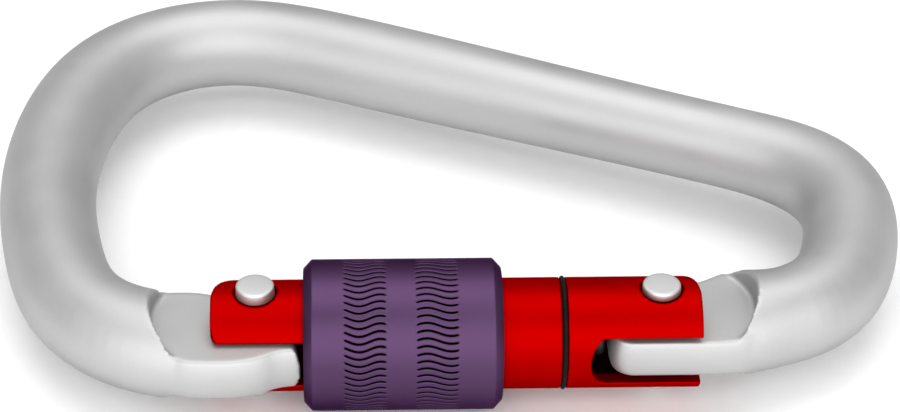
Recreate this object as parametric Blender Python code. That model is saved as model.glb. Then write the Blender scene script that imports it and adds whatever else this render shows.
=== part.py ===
"""A pear-shaped locking carabiner with a screw sleeve, modelled as its eight separate pieces.

Sizes are in millimetres, and MM turns them into Blender's metres. The design frame has its origin
where the hinge pin's axis crosses the gate's axis. The gate runs along -X to the nose, +Y points from
the gate to the spine, and +Z is across the carabiner's plane. The empty named assembly then moves
everything so that the world origin is at the bottom centre of the whole part.
"""

import math

import bmesh
import bpy
from mathutils import Vector

MM = 0.001

# Body: a round bar along a rounded outline, with a flat tongue milled at each end.
BAR_START = (-52.0, -2.0)
BAR_CORNERS = (
    ((-70.0, -3.5), 16.5),
    ((-78.0, 37.0), 63.0),
    ((-65.0, 74.5), 20.5),
    ((29.0, 32.5), 13.5),
    ((22.5, 1.5), 13.0),
)
BAR_END = (8.5, 1.6)
BAR_RADII = (
    (0.0, 6.15),
    (0.18, 6.15),
    (0.29, 6.35),
    (0.41, 6.0),
    (0.5, 6.1),
    (0.75, 5.5),
    (0.84, 6.05),
    (1.0, 6.0),
)
BAR_SIDES = 20
BAR_FINE_STEP = 1.5
BAR_BLEND_PASSES = 22
BAR_RING_TURN = math.radians(7)
BAR_RING_STEP = 9.0
NOSE_SWELL = (1.1, 0.09)
HINGE_SWELL = (1.3, 0.035)
NOSE_TONGUE_HALF = 2.75
HINGE_TONGUE_HALF = 2.45
TONGUE_EXTRA = 0.25
TONGUE_CROWN_RADIUS = 6.2
NOSE_MILL = ((-50.5, -0.4), 10.6)
HINGE_MILL = ((2.0, 1.6), 9.7)
MILL_TOP = 9.0
MARKING_LENGTH = 26.0
MARKING_LEVEL = -5.6
MARKING_PLACE = 0.38

# Gate: a turned bar with a slot at each end, pinned to the body at x = 0.
GATE_RADIUS = 6.7
GATE_NOSE_END = -53.8
GATE_HINGE_END = 4.7
EAR_CORNERS = ((2.6, 2.6), (0.8, 0.8), (6.5, 8.2), (10.0, 8.0))
NOSE_SLOT_HALF = 3.05
NOSE_SLOT_APEX = -39.6
HINGE_SLOT_HALF = 3.3
HINGE_SLOT_APEX = -8.6
HINGE_SLOT_END_DEPTH = 2.0
LATCH_X = -48.5
ROUND_STEPS = 36

# Rivets.
HINGE_SHANK = 1.9
LATCH_SHANK = 1.75
SHANK_GAP = 0.1
HINGE_BEARING_GAP = 0.15
HEAD_RADIUS = 2.3
HEAD_RIM = 0.3
SPOT_FACE = 6.0
SPOT_FACE_RADIUS = 2.6
HEAD_GAP = 0.1
HINGE_HEAD_TOP = 7.2
LATCH_HEAD_TOP = 7.6
NOTCH_GAP = 0.3

# Gate spring, its plunger, and the cam on the hinge tongue that the plunger presses on.
CAM_REACH = 6.4
CAM_RISE = 1.6
CAM_END = math.radians(34)
PLUNGER_GAP = 0.3
PLUNGER_RADIUS = 2.7
PLUNGER_LENGTH = 6.0
BORE_RADIUS = 2.85
BORE_END = -25.8
SPRING_WIRE = 0.32
SPRING_RADIUS = 2.05
SPRING_TURNS = 9
SPRING_STEPS = 12

# Screw sleeve and the ring that stops it.
THREAD_PITCH = 1.5
THREAD_START = -34.9
THREAD_TURNS = 7.25
THREAD_CREST = 7.25
THREAD_HALF_BASE = 0.3
THREAD_HALF_CREST = 0.15
THREAD_SINK = 0.3
THREAD_STEPS = 24
SLEEVE_LEFT = -42.8
SLEEVE_LENGTH = 23.7
SLEEVE_RADIUS = 9.1
SLEEVE_CHAMFER = (1.0, 1.1)
SLEEVE_BORE = 7.75
SLEEVE_THREAD_CREST = 6.95
SLEEVE_THREAD_TURNS = 4
SLEEVE_LIP = 1.2
SLEEVE_LOCKED_TRAVEL = 3.0
RING_X = -11.7
RING_WIRE = 0.25
RING_CENTRE_RADIUS = 6.6
GROOVE_HALF = 0.33
GROOVE_RADIUS = 6.25

# Nose: the tip clears the sleeve's corner as the gate swings, and the notch clears the latch pin.
SLEEVE_CLEARANCE = 0.15
SLEEVE_FACE_RADIUS = SLEEVE_RADIUS - SLEEVE_CHAMFER[1]
NOSE_TIP_RADIUS = math.hypot(SLEEVE_LEFT, SLEEVE_FACE_RADIUS) + SLEEVE_CLEARANCE
NOSE_LOCKED_HALF = 7.2
NOSE_OUTER = -9.4
NOSE_INNER = 5.9


def smooth(t):
    t = min(1.0, max(0.0, t))
    return t * t * (3 - 2 * t)


def clear_scene():
    for obj in list(bpy.data.objects):
        bpy.data.objects.remove(obj)


def material(name, colour, roughness, metallic):
    mat = bpy.data.materials.new(name)
    mat.use_nodes = True
    shader = mat.node_tree.nodes["Principled BSDF"]
    shader.inputs["Base Color"].default_value = (*colour, 1.0)
    shader.inputs["Roughness"].default_value = roughness
    shader.inputs["Metallic"].default_value = metallic
    mat.diffuse_color = (*colour, 1.0)
    return mat


def empty(name, parent=None):
    obj = bpy.data.objects.new(name, None)
    obj.parent = parent
    bpy.context.scene.collection.objects.link(obj)
    return obj


def add_mesh(name, points, faces, parent, mat=None):
    """A closed mesh object from points in millimetres, with its faces turned outwards."""
    mesh = bpy.data.meshes.new(name)
    mesh.from_pydata([Vector(point) * MM for point in points], [], faces)
    work = bmesh.new()
    work.from_mesh(mesh)
    bmesh.ops.recalc_face_normals(work, faces=work.faces)
    work.to_mesh(mesh)
    work.free()
    mesh.shade_smooth()
    mesh.set_sharp_from_angle(angle=math.radians(35))
    obj = bpy.data.objects.new(name, mesh)
    obj.parent = parent
    bpy.context.scene.collection.objects.link(obj)
    if mat:
        mesh.materials.append(mat)
    else:
        obj.hide_render = True
        obj.display_type = "WIRE"
    return obj


def change(target, other, operation):
    modifier = target.modifiers.new(other.name, "BOOLEAN")
    modifier.operation = operation
    modifier.object = other
    modifier.solver = "EXACT"


def bridge(rings, closed):
    """Faces between rings of point numbers. A ring of one point closes the shape to a tip."""
    pairs = list(zip(rings, rings[1:]))
    if closed:
        pairs.append((rings[-1], rings[0]))
    faces = []
    for low, high in pairs:
        count = max(len(low), len(high))
        for k in range(count):
            corners = [
                low[k % len(low)],
                low[(k + 1) % len(low)],
                high[(k + 1) % len(high)],
                high[k % len(high)],
            ]
            faces.append(list(dict.fromkeys(corners)))
    return faces


def turned(name, profile, parent, mat=None, steps=ROUND_STEPS, closed=False):
    """A profile of (x, radius) turned about X. A closed profile makes a tube or a ring."""
    points = []
    rings = []
    for x, radius in profile:
        count = steps if radius else 1
        rings.append(list(range(len(points), len(points) + count)))
        for k in range(count):
            angle = 2 * math.pi * k / steps
            points.append((x, radius * math.cos(angle), radius * math.sin(angle)))
    return add_mesh(name, points, bridge(rings, closed), parent, mat)


def rod(name, radius, low, high, parent, steps=ROUND_STEPS):
    return turned(name, ((low, 0), (low, radius), (high, radius), (high, 0)), parent, None, steps)


def stand_up(obj, x):
    """Turns a piece made along X so that it runs along Z at the station x."""
    obj.rotation_euler = (0, math.radians(-90), 0)
    obj.location = (x * MM, 0, 0)
    return obj


def prism(name, outline, half, parent):
    """An outline in the XY plane, extruded the same distance both ways along Z."""
    count = len(outline)
    points = [(x, y, z) for z in (-half, half) for x, y in outline]
    low = list(range(count))
    high = list(range(count, 2 * count))
    return add_mesh(name, points, [low, high, *bridge([low, high], False)], parent)


def crowned_plate(name, outline, half, parent):
    """A prism whose edge is crowned: each level is set in along the outline's normals."""
    count = len(outline)
    normals = []
    for k in range(count):
        before = Vector(outline[k]) - Vector(outline[k - 1])
        after = Vector(outline[(k + 1) % count]) - Vector(outline[k])
        along = before.normalized() + after.normalized()
        normals.append(Vector((along.y, -along.x)).normalized())
    levels = (-half, -0.7 * half, 0, 0.7 * half, half)
    points = []
    for z in levels:
        inset = TONGUE_CROWN_RADIUS - math.sqrt(TONGUE_CROWN_RADIUS**2 - z * z)
        for point, normal in zip(outline, normals):
            points.append((point[0] - inset * normal.x, point[1] - inset * normal.y, z))
    rings = [list(range(k * count, (k + 1) * count)) for k in range(len(levels))]
    faces = [rings[0], rings[-1], *bridge(rings, False)]
    return add_mesh(name, points, faces, parent)


def arc(centre, radius, start, end, count):
    """Points on an arc, both ends included. Angles are in radians."""
    angles = [start + (end - start) * k / count for k in range(count + 1)]
    return [(centre[0] + radius * math.cos(a), centre[1] + radius * math.sin(a)) for a in angles]


def rounded_corner(before, corner, after, radius, step):
    """The arc of a radius that rounds a corner, as points about step radians apart."""
    corner = Vector(corner)
    back = (Vector(before) - corner).normalized()
    ahead = (Vector(after) - corner).normalized()
    half_angle = back.angle(ahead) / 2
    centre = corner + (back + ahead).normalized() * radius / math.sin(half_angle)
    start = corner + back * radius / math.tan(half_angle) - centre
    turn = math.pi - 2 * half_angle
    if back.x * ahead.y - back.y * ahead.x > 0:
        turn = -turn
    first = math.atan2(start.y, start.x)
    return arc(centre, radius, first, first + turn, max(2, round(abs(turn) / step)))


def distances(path):
    """How far along a path each of its points is."""
    travelled = [0.0]
    for before, after in zip(path, path[1:]):
        travelled.append(travelled[-1] + math.dist(before, after))
    return travelled


def evenly_spaced(path, step):
    """Points on a path at one spacing of about step, both ends included."""
    travelled = distances(path)
    count = math.ceil(travelled[-1] / step)
    spaced = []
    k = 0
    for j in range(count + 1):
        want = travelled[-1] * j / count
        while k < len(path) - 2 and travelled[k + 1] < want:
            k += 1
        share = (want - travelled[k]) / (travelled[k + 1] - travelled[k])
        spaced.append(tuple(Vector(path[k]).lerp(Vector(path[k + 1]), share)))
    return spaced


def blended(path, passes):
    """The same path with its bends eased into its straights. Its ends stay where they are."""
    points = [Vector(point) for point in path]
    for _ in range(passes):
        middle = [(a + 2 * b + c) / 4 for a, b, c in zip(points, points[1:], points[2:])]
        points = [points[0], *middle, points[-1]]
    return [tuple(point) for point in points]


def thinned(path, turn, step):
    """Fewer points: one wherever the path has turned or run on far enough since the last."""
    kept = [0]
    heading = Vector(path[1]) - Vector(path[0])
    for k in range(1, len(path) - 1):
        ahead = Vector(path[k + 1]) - Vector(path[k])
        if ahead.angle(heading) >= turn or math.dist(path[k], path[kept[-1]]) >= step:
            kept.append(k)
            heading = ahead
    return [path[k] for k in kept] + [path[-1]]


def bar_path():
    places = [BAR_START] + [place for place, _ in BAR_CORNERS] + [BAR_END]
    path = [BAR_START]
    for k, (corner, radius) in enumerate(BAR_CORNERS):
        path += rounded_corner(places[k], corner, places[k + 2], radius, math.radians(3))
    path.append(BAR_END)
    path = blended(evenly_spaced(path, BAR_FINE_STEP), BAR_BLEND_PASSES)
    return thinned(path, BAR_RING_TURN, BAR_RING_STEP)


def bar_radius(fraction):
    for (start, low), (end, high) in zip(BAR_RADII, BAR_RADII[1:]):
        if fraction <= end:
            return low + (high - low) * smooth((fraction - start) / (end - start))
    return BAR_RADII[-1][1]


def bar(parent, mat):
    """The round bar, swept along its centreline with a radius that changes along it. It widens in its
    own plane towards each tongue."""
    path = bar_path()
    travelled = distances(path)
    points = []
    rings = []
    for k, place in enumerate(path):
        ahead = Vector(path[min(k + 1, len(path) - 1)]) - Vector(path[max(k - 1, 0)])
        side = Vector((ahead.y, -ahead.x)).normalized()
        fraction = travelled[k] / travelled[-1]
        radius = bar_radius(fraction)
        swell = NOSE_SWELL[0] * smooth(1 - fraction / NOSE_SWELL[1])
        swell += HINGE_SWELL[0] * smooth(1 - (1 - fraction) / HINGE_SWELL[1])
        rings.append(list(range(len(points), len(points) + BAR_SIDES)))
        for j in range(BAR_SIDES):
            angle = 2 * math.pi * j / BAR_SIDES
            across = (radius + swell) * math.cos(angle)
            x = place[0] + side.x * across
            y = place[1] + side.y * across
            points.append((x, y, radius * math.sin(angle)))
    faces = [rings[0], rings[-1], *bridge(rings, False)]
    return add_mesh("body", points, faces, parent, mat)


def nose_outline():
    """The nose tongue from above, counter-clockwise from its root on the outer side."""
    shoulder_x = SLEEVE_LEFT - SLEEVE_LOCKED_TRAVEL - 0.4
    reach = NOSE_TIP_RADIUS
    low_angle = math.pi + math.asin((NOSE_LOCKED_HALF - 0.9) / reach)
    high_angle = math.pi - math.asin((NOSE_INNER - 1.5) / reach)
    pin_gap = LATCH_SHANK + NOTCH_GAP
    right_wall = abs(LATCH_X) - pin_gap
    left_wall = abs(LATCH_X) + pin_gap
    top_right = math.pi - math.asin((NOSE_INNER - 1.3) / right_wall)
    top_left = math.pi - math.asin((NOSE_INNER - 1.3) / left_wall)
    outline = [(-63.0, 4.0), (-61.0, -6.5), (-58.5, -8.3), (-57.0, NOSE_OUTER + 0.35)]
    outline += [(-55.0, NOSE_OUTER + 0.05), (-52.0, NOSE_OUTER), (-50.0, NOSE_OUTER + 0.2)]
    outline += [(-48.3, NOSE_OUTER + 0.65), (-46.9, NOSE_OUTER + 1.3)]
    outline += [(shoulder_x, -NOSE_LOCKED_HALF - 0.5), (shoulder_x + 1.2, -NOSE_LOCKED_HALF - 0.1)]
    outline.append((-reach + 0.6, -NOSE_LOCKED_HALF + 0.15))
    outline += arc((0, 0), reach, low_angle, high_angle, 8)
    outline += [(-reach - 0.1, NOSE_INNER - 0.7), (-right_wall + 0.7, NOSE_INNER - 0.7)]
    outline += arc((0, 0), right_wall, top_right, math.pi, 3)
    outline += arc((LATCH_X, 0), pin_gap, 0, -math.pi, 8)[1:-1]
    outline += arc((0, 0), left_wall, math.pi, top_left, 3)
    outline += [(-left_wall - 0.6, NOSE_INNER - 0.7), (-53.7, NOSE_INNER - 0.6)]
    outline += [(-55.6, NOSE_INNER - 0.1), (-58.0, NOSE_INNER), (-60.5, NOSE_INNER - 0.1)]
    return outline


def hinge_outline():
    """The hinge tongue from above, counter-clockwise. Its end is an involute, so that the flat plunger
    face is pushed back evenly as the gate swings."""
    outer = -6.05
    outline = [(15.0, -2.5), (12.8, -4.0), (10.8, -5.2), (9.0, -5.8), (6.0, outer)]
    outline += rounded_corner((6.0, outer), (-CAM_REACH, outer), (-CAM_REACH, 0.0), 3.0, 0.3)
    steps = 8
    for k in range(steps + 1):
        turn = CAM_END * k / steps
        reach = CAM_REACH + CAM_RISE * turn
        x = -reach * math.cos(turn) + CAM_RISE * math.sin(turn)
        y = reach * math.sin(turn) + CAM_RISE * math.cos(turn)
        outline.append((x, y))
    outline += [(-3.6, 6.0), (-1.5, 6.3), (2.0, 6.4), (4.5, 6.9), (6.5, 7.9), (8.2, 8.9)]
    outline += [(10.5, 8.6), (13.0, 7.6), (15.0, 6.0)]
    return outline[::-1]


def make_body(parent, mat):
    body = bar(parent, mat)
    tongues = (
        ("nose", nose_outline(), NOSE_TONGUE_HALF, NOSE_MILL),
        ("hinge", hinge_outline(), HINGE_TONGUE_HALF, HINGE_MILL),
    )
    for name, outline, half, _ in tongues:
        change(body, crowned_plate(f"{name}_plate", outline, half + TONGUE_EXTRA, parent), "UNION")
    for name, _, half, (centre, radius) in tongues:
        for side in (-1, 1):
            low, high = sorted((side * half, side * MILL_TOP))
            place = "upper" if side > 0 else "lower"
            cutter = rod(f"{name}_mill_{place}", radius, low, high, parent, 64)
            stand_up(cutter, centre[0])
            cutter.location.y = centre[1] * MM
            change(body, cutter, "DIFFERENCE")
    bearing = rod("hinge_bearing", HINGE_SHANK + HINGE_BEARING_GAP, -MILL_TOP, MILL_TOP, parent, 24)
    change(body, stand_up(bearing, 0), "DIFFERENCE")
    change(body, marking_cutter(parent), "DIFFERENCE")
    return body


def marking_cutter(parent):
    """A box that presses a blank flat into the underside of the spine."""
    start = Vector(BAR_CORNERS[2][0])
    end = Vector(BAR_CORNERS[3][0])
    along = end - start
    middle = start + along * MARKING_PLACE
    half = MARKING_LENGTH / 2
    width = 5.0
    height = 2.0
    outline = [(-half, -width), (half, -width), (half, width), (-half, width)]
    cutter = prism("marking_cutter", outline, height, parent)
    cutter.rotation_euler = (0, 0, math.atan2(along.y, along.x))
    cutter.location = (middle.x * MM, middle.y * MM, (MARKING_LEVEL - height) * MM)
    return cutter


def slot_cutter(name, apex, depth, half, mouth, parent):
    """A slot along Y with a rounded end, open at its mouth."""
    way = 1 if mouth > apex else -1
    outline = [(mouth, half), (mouth, -half)]
    count = 12
    for k in range(count + 1):
        angle = math.pi * k / count
        outline.append((apex + way * depth * (1 - math.sin(angle)), -half * math.cos(angle)))
    cutter = prism(name, outline, 2 * GATE_RADIUS, parent)
    cutter.rotation_euler = (math.radians(90), 0, 0)
    return cutter


def ridge(name, start, turns, root, crest, parent):
    """A screw thread's ridge: a trapezium swept along a right-hand helix."""
    points = []
    rings = []
    count = round(turns * THREAD_STEPS)
    for k in range(count + 1):
        angle = 2 * math.pi * k / THREAD_STEPS
        x = start + THREAD_PITCH * k / THREAD_STEPS
        section = (
            (x - THREAD_HALF_BASE, root),
            (x + THREAD_HALF_BASE, root),
            (x + THREAD_HALF_CREST, crest),
            (x - THREAD_HALF_CREST, crest),
        )
        rings.append(list(range(len(points), len(points) + len(section))))
        for along, radius in section:
            points.append((along, radius * math.cos(angle), radius * math.sin(angle)))
    faces = [rings[0], rings[-1], *bridge(rings, False)]
    return add_mesh(name, points, faces, parent)


def rivet_cutter(name, x, hole, parent):
    """A rivet's hole across the gate, with a flat seat for its head at each end."""
    half = [(SPOT_FACE, hole), (SPOT_FACE, SPOT_FACE_RADIUS), (MILL_TOP, SPOT_FACE_RADIUS), (MILL_TOP, 0)]
    profile = [(-height, radius) for height, radius in reversed(half)] + half
    return stand_up(turned(name, profile, parent, None, 24), x)


def make_gate(parent, mat):
    groove = (
        (RING_X - GROOVE_HALF, GATE_RADIUS),
        (RING_X - GROOVE_HALF, GROOVE_RADIUS),
        (RING_X + GROOVE_HALF, GROOVE_RADIUS),
        (RING_X + GROOVE_HALF, GATE_RADIUS),
    )
    left, right = GATE_NOSE_END, GATE_HINGE_END
    profile = ((left, 0), (left, GATE_RADIUS), *groove, (right, GATE_RADIUS), (right, 0))
    gate = turned("gate_tube", profile, parent, mat)
    wide = 2 * GATE_RADIUS
    corners = ((left, -GATE_RADIUS), (right, -GATE_RADIUS), (right, GATE_RADIUS), (left, GATE_RADIUS))
    outline = []
    for k, (corner, (along, across)) in enumerate(zip(corners, EAR_CORNERS)):
        centre_x = corner[0] - math.copysign(along, corner[0])
        centre_y = corner[1] - math.copysign(across, corner[1])
        for j in range(7):
            angle = math.radians(180 + 90 * k + 15 * j)
            outline.append((centre_x + along * math.cos(angle), centre_y + across * math.sin(angle)))
    change(gate, prism("ear_outline", outline, wide, parent), "INTERSECT")
    root = GATE_RADIUS - THREAD_SINK
    change(gate, ridge("gate_thread", THREAD_START, THREAD_TURNS, root, THREAD_CREST, parent), "UNION")
    nose_slot = slot_cutter("nose_slot", NOSE_SLOT_APEX, NOSE_SLOT_HALF, NOSE_SLOT_HALF, -60.0, parent)
    hinge_slot = slot_cutter(
        "hinge_slot", HINGE_SLOT_APEX, HINGE_SLOT_END_DEPTH, HINGE_SLOT_HALF, 9.0, parent
    )
    change(gate, nose_slot, "DIFFERENCE")
    change(gate, hinge_slot, "DIFFERENCE")
    change(gate, rod("spring_bore", BORE_RADIUS, BORE_END, HINGE_SLOT_APEX + 3.0, parent, 24), "DIFFERENCE")
    change(gate, rivet_cutter("latch_seat", LATCH_X, LATCH_SHANK + SHANK_GAP, parent), "DIFFERENCE")
    change(gate, rivet_cutter("hinge_seat", 0.0, HINGE_SHANK + SHANK_GAP, parent), "DIFFERENCE")
    return gate


def make_pin(name, x, shank, top, parent, mat):
    """A rivet with two low, round-edged heads, standing across the gate."""
    seat = SPOT_FACE + HEAD_GAP
    half = [(seat, shank), (seat, HEAD_RADIUS)]
    for k in range(4):
        angle = math.radians(90) * k / 3
        radius = HEAD_RADIUS - HEAD_RIM + HEAD_RIM * math.cos(angle)
        half.append((top - HEAD_RIM + HEAD_RIM * math.sin(angle), radius))
    half.append((top, 0))
    profile = [(-height, radius) for height, radius in reversed(half)] + half
    return stand_up(turned(name, profile, parent, mat, 24), x)


def make_plunger(parent, mat):
    face = -CAM_REACH - PLUNGER_GAP
    back = face - PLUNGER_LENGTH
    chamfer = 0.4
    profile = (
        (back, 0),
        (back, PLUNGER_RADIUS - chamfer),
        (back + chamfer, PLUNGER_RADIUS),
        (face - chamfer, PLUNGER_RADIUS),
        (face, PLUNGER_RADIUS - chamfer),
        (face, 0),
    )
    return turned("spring_plunger", profile, parent, mat, 24)


def make_spring(parent, mat):
    """A helical spring between the blind end of the bore and the back of the plunger."""
    seat_gap = SPRING_WIRE + 0.1
    start = BORE_END + seat_gap
    end = -CAM_REACH - PLUNGER_GAP - PLUNGER_LENGTH - seat_gap
    count = SPRING_TURNS * SPRING_STEPS
    curve = bpy.data.curves.new("gate_spring", "CURVE")
    curve.dimensions = "3D"
    curve.bevel_depth = SPRING_WIRE * MM
    curve.bevel_resolution = 1
    curve.use_fill_caps = True
    spline = curve.splines.new("POLY")
    spline.points.add(count)
    for k, point in enumerate(spline.points):
        angle = 2 * math.pi * k / SPRING_STEPS
        place = Vector(
            (
                start + (end - start) * k / count,
                SPRING_RADIUS * math.cos(angle),
                SPRING_RADIUS * math.sin(angle),
            )
        )
        point.co = (*(place * MM), 1.0)
    curve.materials.append(mat)
    obj = bpy.data.objects.new("gate_spring", curve)
    obj.parent = parent
    bpy.context.scene.collection.objects.link(obj)
    return obj


def make_sleeve(parent, mat):
    left = SLEEVE_LEFT
    right = left + SLEEVE_LENGTH
    length, depth = SLEEVE_CHAMFER
    profile = (
        (left, SLEEVE_BORE),
        (left, SLEEVE_RADIUS - depth),
        (left + length, SLEEVE_RADIUS),
        (right - length, SLEEVE_RADIUS),
        (right, SLEEVE_RADIUS - depth),
        (right, SLEEVE_THREAD_CREST),
        (right - SLEEVE_LIP, SLEEVE_THREAD_CREST),
        (right - SLEEVE_LIP, SLEEVE_BORE),
    )
    sleeve = turned("locking_sleeve", profile, parent, mat, ROUND_STEPS, closed=True)
    start = THREAD_START + THREAD_PITCH / 2
    root = SLEEVE_BORE + THREAD_SINK
    thread = ridge("sleeve_thread", start, SLEEVE_THREAD_TURNS, root, SLEEVE_THREAD_CREST, parent)
    change(sleeve, thread, "UNION")
    return sleeve


def make_ring(parent, mat):
    section = arc((RING_X, RING_CENTRE_RADIUS), RING_WIRE, 0, 2 * math.pi, 8)[:-1]
    return turned("stop_ring", section, parent, mat, ROUND_STEPS, closed=True)


def stand_on_origin(assembly):
    """Moves the assembly so that the origin is at the bottom centre of the box round the pieces."""
    bpy.context.view_layer.update()
    graph = bpy.context.evaluated_depsgraph_get()
    low = Vector((math.inf,) * 3)
    high = -low
    for obj in bpy.context.scene.objects:
        if obj.type not in ("MESH", "CURVE") or obj.hide_render:
            continue
        solid = obj.evaluated_get(graph)
        for vertex in solid.to_mesh().vertices:
            place = solid.matrix_world @ vertex.co
            low = Vector(map(min, low, place))
            high = Vector(map(max, high, place))
        solid.to_mesh_clear()
    assembly.location = (-(low.x + high.x) / 2, -(low.y + high.y) / 2, -low.z)


def main():
    clear_scene()
    satin = material("satin_aluminium", (0.56, 0.56, 0.56), 0.38, 1.0)
    red = material("red_anodised", (0.62, 0.01, 0.01), 0.35, 0.6)
    purple = material("purple_anodised", (0.13, 0.06, 0.16), 0.4, 0.5)
    steel = material("bright_steel", (0.62, 0.62, 0.62), 0.25, 1.0)
    black = material("black_plastic", (0.02, 0.02, 0.02), 0.5, 0.0)
    assembly = empty("assembly")
    gate_pivot = empty("gate_pivot", assembly)
    make_body(assembly, satin)
    make_gate(gate_pivot, red)
    make_pin("hinge_pin", 0.0, HINGE_SHANK, HINGE_HEAD_TOP, gate_pivot, steel)
    make_pin("latch_pin", LATCH_X, LATCH_SHANK, LATCH_HEAD_TOP, gate_pivot, steel)
    make_plunger(gate_pivot, black)
    make_spring(gate_pivot, steel)
    make_sleeve(gate_pivot, purple)
    make_ring(gate_pivot, black)
    stand_on_origin(assembly)


main()
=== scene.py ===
"""The looks of the locking carabiner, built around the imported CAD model.

The pieces are modelled in millimetres in the gate's own frame: the origin is where the hinge pin's axis
crosses the gate's axis, -X runs along the gate to the nose, +Y from the gate to the spine and +Z up.
finish_piece then brings each one into the frame of the CAD model, in metres.
"""

import math

import bmesh
import bpy
from mathutils import Matrix, Vector


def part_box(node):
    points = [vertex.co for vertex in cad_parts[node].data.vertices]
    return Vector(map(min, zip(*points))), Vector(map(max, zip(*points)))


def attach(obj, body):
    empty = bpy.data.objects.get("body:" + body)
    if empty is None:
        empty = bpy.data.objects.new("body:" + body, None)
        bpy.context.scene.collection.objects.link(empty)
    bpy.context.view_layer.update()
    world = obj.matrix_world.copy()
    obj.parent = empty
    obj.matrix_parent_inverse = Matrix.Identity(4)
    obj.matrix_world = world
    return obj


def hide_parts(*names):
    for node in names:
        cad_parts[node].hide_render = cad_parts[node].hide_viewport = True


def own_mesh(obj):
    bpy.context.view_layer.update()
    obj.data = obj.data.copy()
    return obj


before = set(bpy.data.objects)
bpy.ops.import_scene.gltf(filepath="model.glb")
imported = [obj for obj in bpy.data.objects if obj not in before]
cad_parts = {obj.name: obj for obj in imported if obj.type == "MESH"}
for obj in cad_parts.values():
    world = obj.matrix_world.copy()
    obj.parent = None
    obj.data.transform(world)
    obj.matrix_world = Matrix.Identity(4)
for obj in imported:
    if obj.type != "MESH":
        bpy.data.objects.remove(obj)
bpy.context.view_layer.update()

MM = 0.001
HINGE = (Vector(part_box("hinge_pin")[0]) + Vector(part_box("hinge_pin")[1])) / 2

# Body, as in the CAD model. Each corner of the bar's path is its place and the radius of its bend.
BAR_START = (-52.0, -2.0)
BAR_CORNERS = (
    ((-70.0, -3.5), 16.5),
    ((-78.0, 37.0), 63.0),
    ((-65.0, 74.5), 20.5),
    ((29.0, 32.5), 13.5),
    ((22.5, 1.5), 13.0),
)
BAR_END = (8.5, 1.6)

# The bar's radius at some shares of its length.
BAR_RADII = (
    (0.0, 6.15),
    (0.18, 6.15),
    (0.29, 6.35),
    (0.41, 6.0),
    (0.5, 6.1),
    (0.75, 5.5),
    (0.84, 6.05),
    (1.0, 6.0),
)
BAR_INSIDE = 0.08
BAR_SIDES = 96
BAR_STEP = 1.5
BAR_BLEND_PASSES = 22

# How much wider the bar is where it meets a tongue, and over what share of its length it widens.
NOSE_SWELL = (1.1, 0.09)
HINGE_SWELL = (1.3, 0.035)

# The tongues: half their thickness, the stock that is milled off each side, and the radius of the crown on
# their edges.
NOSE_TONGUE_HALF = 2.75
HINGE_TONGUE_HALF = 2.45
TONGUE_EXTRA = 0.25
CROWN_RADIUS = 6.2
CROWN_LEVELS = 6

# The centre and radius of the round cut that flattens each tongue.
NOSE_MILL = ((-50.5, -0.4), 10.6)
HINGE_MILL = ((2.0, 1.6), 9.7)

# The flat for markings: its length, its level, and its place as a share of the spine.
MARKING_FLAT = (26.0, -5.6, 0.38)

# The nose: its outer and inner sides, and the end that goes into the locked sleeve.
NOSE_OUTER = -9.4
NOSE_INNER = 5.9
NOSE_LOCKED_HALF = 7.2
NOSE_TIP_RADIUS = 43.69
NOSE_SHOULDER_X = -46.2

# The cam on the hinge tongue: its distance from the hinge at rest, its rise in millimetres per radian of
# the gate's swing, and the angle of its end.
CAM_REACH = 6.4
CAM_RISE = 1.6
CAM_END = math.radians(34)

# How far cutters reach from the middle. Both are past every wall that they cut.
FAR = 9.0
WELL_CLEAR = 15.0

# Gate.
GATE_RADIUS = 6.7
GATE_NOSE_END = -53.8
GATE_HINGE_END = 4.7

# The ellipse that rounds each corner of the ears, as (along, across) radii, seen from above and
# counter-clockwise from the nose end's outer corner.
EAR_CORNERS = ((2.6, 2.6), (0.8, 0.8), (6.5, 8.2), (10.0, 8.0))

# Each slot: the x of its end inside the gate, the depth of its rounded end, and half its width.
NOSE_SLOT = (-39.6, 3.05, 3.05)
HINGE_SLOT = (-8.6, 2.0, 3.3)

# The spring's bore: its radius, and the x of its two ends.
BORE = (2.85, -25.8, -5.6)

# A rivet head's seat: its radius and its height above the gate's axis.
SEAT = (2.6, 6.0)
HINGE_HOLE = 2.0
LATCH_HOLE = 1.85

# The outside thread, and the ring's groove as half its width and the radius of its bottom.
THREAD_PITCH = 1.5
THREAD_START = -34.9
THREAD_TURNS = 7.25
THREAD_CREST = 7.25
THREAD_FOOT_HALF = 0.3
THREAD_CREST_HALF = 0.15
THREAD_STEPS = 72
GROOVE = (0.33, 6.25)

# Each rivet: its x, the radius of its shank and the height of its heads above the gate's axis. The tongues
# keep the clearances round the shanks.
LATCH_X = -48.5
HINGE_RIVET = (0.0, 1.9, 7.2)
LATCH_RIVET = (LATCH_X, 1.75, 7.6)
RIVET_HEAD = 2.3
RIVET_SEAT = 6.1
LATCH_CLEARANCE = 0.3
HINGE_CLEARANCE = 0.15

# The plunger: the x of its back and of its face, and its radius. Its groove: how far from the back it
# starts, its length, the length of its sloping sides and its depth.
PLUNGER = (-12.7, -6.7, 2.7)
PLUNGER_GROOVE = (1.6, 0.7, 0.15, 0.2)

# The spring: the x of its first and last coil, the coils' radius and the wire's. The ring: its x, its
# radius and its section's.
SPRING = (-25.38, -13.12, 2.05, 0.32)
SPRING_TURNS = 9
SPRING_CLOSED_TURNS = 1.25
RING = (-11.7, 6.6, 0.25)

# Sleeve. The chamfers are (length, depth), and the lip inside the right end is (length, radius).
SLEEVE_LEFT = -42.8
SLEEVE_LENGTH = 23.7
SLEEVE_RADIUS = 9.1
SLEEVE_CHAMFER = (1.0, 1.1)
SLEEVE_BORE = 7.75
SLEEVE_LIP = (1.2, 6.95)
SLEEVE_THREAD_TURNS = 4

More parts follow.
